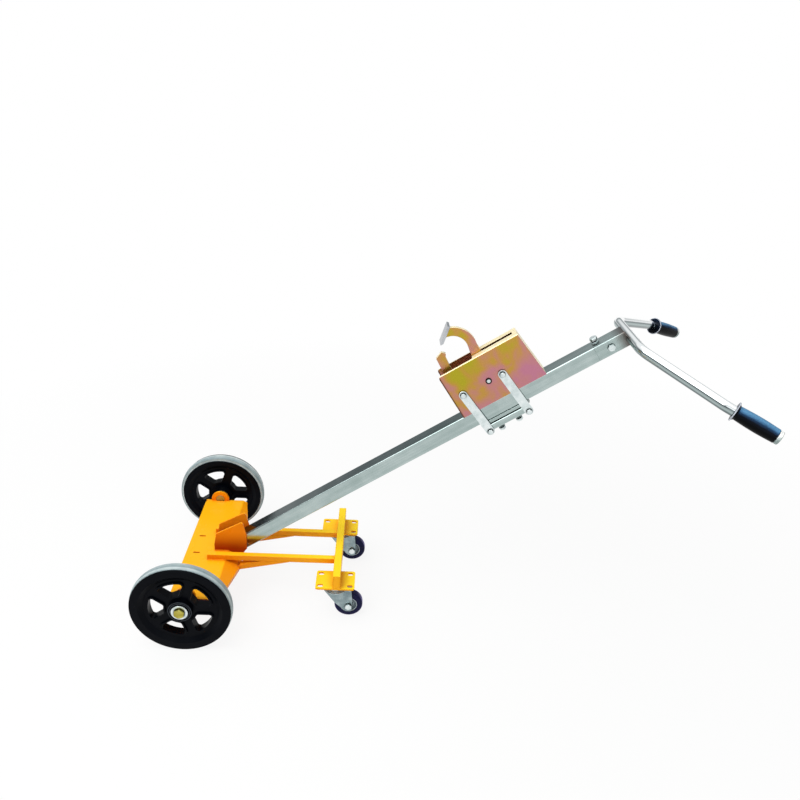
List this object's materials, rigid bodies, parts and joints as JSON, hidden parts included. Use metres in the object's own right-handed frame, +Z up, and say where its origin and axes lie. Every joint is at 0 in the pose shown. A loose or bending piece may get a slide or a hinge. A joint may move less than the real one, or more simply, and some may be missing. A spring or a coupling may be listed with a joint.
{
  "type": "drum trolley",
  "caption": "Tilting drum trolley: square mast with sliding rim-gripping head, folded base on large wheels, rear swivel casters and a splayed handlebar with grips.",
  "frame": {"origin": "on the floor, on the centre plane, half way along the trolley", "axes": "+X back towards the handle, +Y to the operator's right, +Z up"},
  "size_m": [1.437, 0.658, 0.8013],
  "materials": {
    "yellow_paint": "gloss powder coat",
    "zinc_tube": "bright zinc plated, drawn tube",
    "chrome_tube": "bright chrome",
    "yellow_zinc": "yellow passivated zinc, iridescent",
    "bright_zinc": "bright zinc plated",
    "tool_steel": "ground steel",
    "black_plastic": "satin moulded",
    "grey_plastic": "satin moulded",
    "grey_rubber": "matt non-marking",
    "black_rubber": "satin moulded",
    "dark_tyre": "smooth",
    "pale_plastic": "gloss"
  },
  "bodies": {
    "frame": {"base_plate": "yellow_paint", "left_cheek": "yellow_paint", "right_cheek": "yellow_paint", "left_axle_plate": "yellow_paint", "right_axle_plate": "yellow_paint", "left_stringer": "yellow_paint", "right_stringer": "yellow_paint", "left_brace": "yellow_paint", "right_brace": "yellow_paint", "cross_bar": "yellow_paint", "cross_bar_caps": "yellow_paint", "left_caster_plate": "yellow_paint", "right_caster_plate": "yellow_paint", "left_stub_axle": "tool_steel", "right_stub_axle": "tool_steel", "hub_washers": "bright_zinc", "hub_bolts": "yellow_zinc", "mast": "zinc_tube", "handle_stub": "zinc_tube", "handle_spigot": "zinc_tube", "handle_bolts": "bright_zinc", "handlebar": "chrome_tube", "left_grip": "black_rubber", "right_grip": "black_rubber", "grip_plugs": "pale_plastic", "caster_races": "bright_zinc", "kingpins": "bright_zinc"},
    "left_wheel": {"left_wheel_rim": "black_plastic", "left_wheel_tread": "grey_rubber", "left_wheel_bearings": "tool_steel"},
    "right_wheel": {"right_wheel_rim": "black_plastic", "right_wheel_tread": "grey_rubber", "right_wheel_bearings": "tool_steel"},
    "left_swivel": {"left_caster_fork": "bright_zinc", "left_caster_axle": "bright_zinc"},
    "right_swivel": {"right_caster_fork": "bright_zinc", "right_caster_axle": "bright_zinc"},
    "left_caster_wheel": {"left_caster_core": "grey_plastic", "left_caster_tyre": "dark_tyre"},
    "right_caster_wheel": {"right_caster_core": "grey_plastic", "right_caster_tyre": "dark_tyre"},
    "head": {"head_housing": "yellow_zinc", "lower_jaw": "yellow_zinc", "jaw_stop": "yellow_zinc", "jaw_pin": "bright_zinc", "jaw_spacers": "bright_zinc", "link_bolts": "bright_zinc"},
    "hook": {"upper_jaw": "yellow_zinc", "jaw_tooth": "tool_steel"},
    "front_links": {"left_front_link": "bright_zinc", "right_front_link": "bright_zinc"},
    "rear_links": {"left_rear_link": "bright_zinc", "right_rear_link": "bright_zinc"},
    "clamp": {"clamp_bar": "zinc_tube", "brake_shoe": "zinc_tube", "clamp_bolts": "bright_zinc", "shoe_bolts": "bright_zinc"}
  },
  "joints": [
    {"name": "left_wheel_spin", "type": "hinge", "parent": "frame", "child": "left_wheel", "pos_m": [-0.59347, -0.256, 0.125], "axis": [0, 1, 0], "continuous": true},
    {"name": "left_caster_swivel", "type": "hinge", "parent": "frame", "child": "left_swivel", "pos_m": [-0.22648, -0.119, 0.088], "axis": [0, 0, 1], "continuous": true},
    {"name": "left_caster_spin", "type": "hinge", "parent": "left_swivel", "child": "left_caster_wheel", "pos_m": [-0.19048, -0.119, 0.0375], "axis": [0, 1, 0], "continuous": true},
    {"name": "right_wheel_spin", "type": "hinge", "parent": "frame", "child": "right_wheel", "pos_m": [-0.59347, 0.256, 0.125], "axis": [0, 1, 0], "continuous": true},
    {"name": "right_caster_swivel", "type": "hinge", "parent": "frame", "child": "right_swivel", "pos_m": [-0.22648, 0.119, 0.088], "axis": [0, 0, 1], "continuous": true},
    {"name": "right_caster_spin", "type": "hinge", "parent": "right_swivel", "child": "right_caster_wheel", "pos_m": [-0.19048, 0.119, 0.0375], "axis": [0, 1, 0], "continuous": true},
    {"name": "head_slide", "type": "slide", "parent": "frame", "child": "head", "axis": [0.8259, 0, 0.5638], "range_m": [-0.45, 0.1]},
    {"name": "hook_hinge", "type": "hinge", "parent": "head", "child": "hook", "pos_m": [0.13164, 0, 0.65991], "axis": [0, 1, 0], "range_deg": [0, 42]},
    {"name": "front_link_hinge", "type": "hinge", "parent": "head", "child": "front_links", "pos_m": [0.07245, 0, 0.61963], "axis": [0, 1, 0], "range_deg": [0, 9.6]},
    {"name": "rear_link_hinge", "type": "hinge", "parent": "head", "child": "rear_links", "pos_m": [0.16248, 0, 0.68108], "axis": [0, 1, 0], "range_deg": [0, 9.6]},
    {"name": "clamp_hinge", "type": "hinge", "parent": "front_links", "child": "clamp", "pos_m": [0.15084, 0, 0.52324], "axis": [0, 1, 0], "range_deg": [-9.6, 0]}
  ],
  "couplings": [
    {"joint": "rear_link_hinge", "follows": "front_link_hinge", "ratio": 1},
    {"joint": "clamp_hinge", "follows": "front_link_hinge", "ratio": -1}
  ]
}
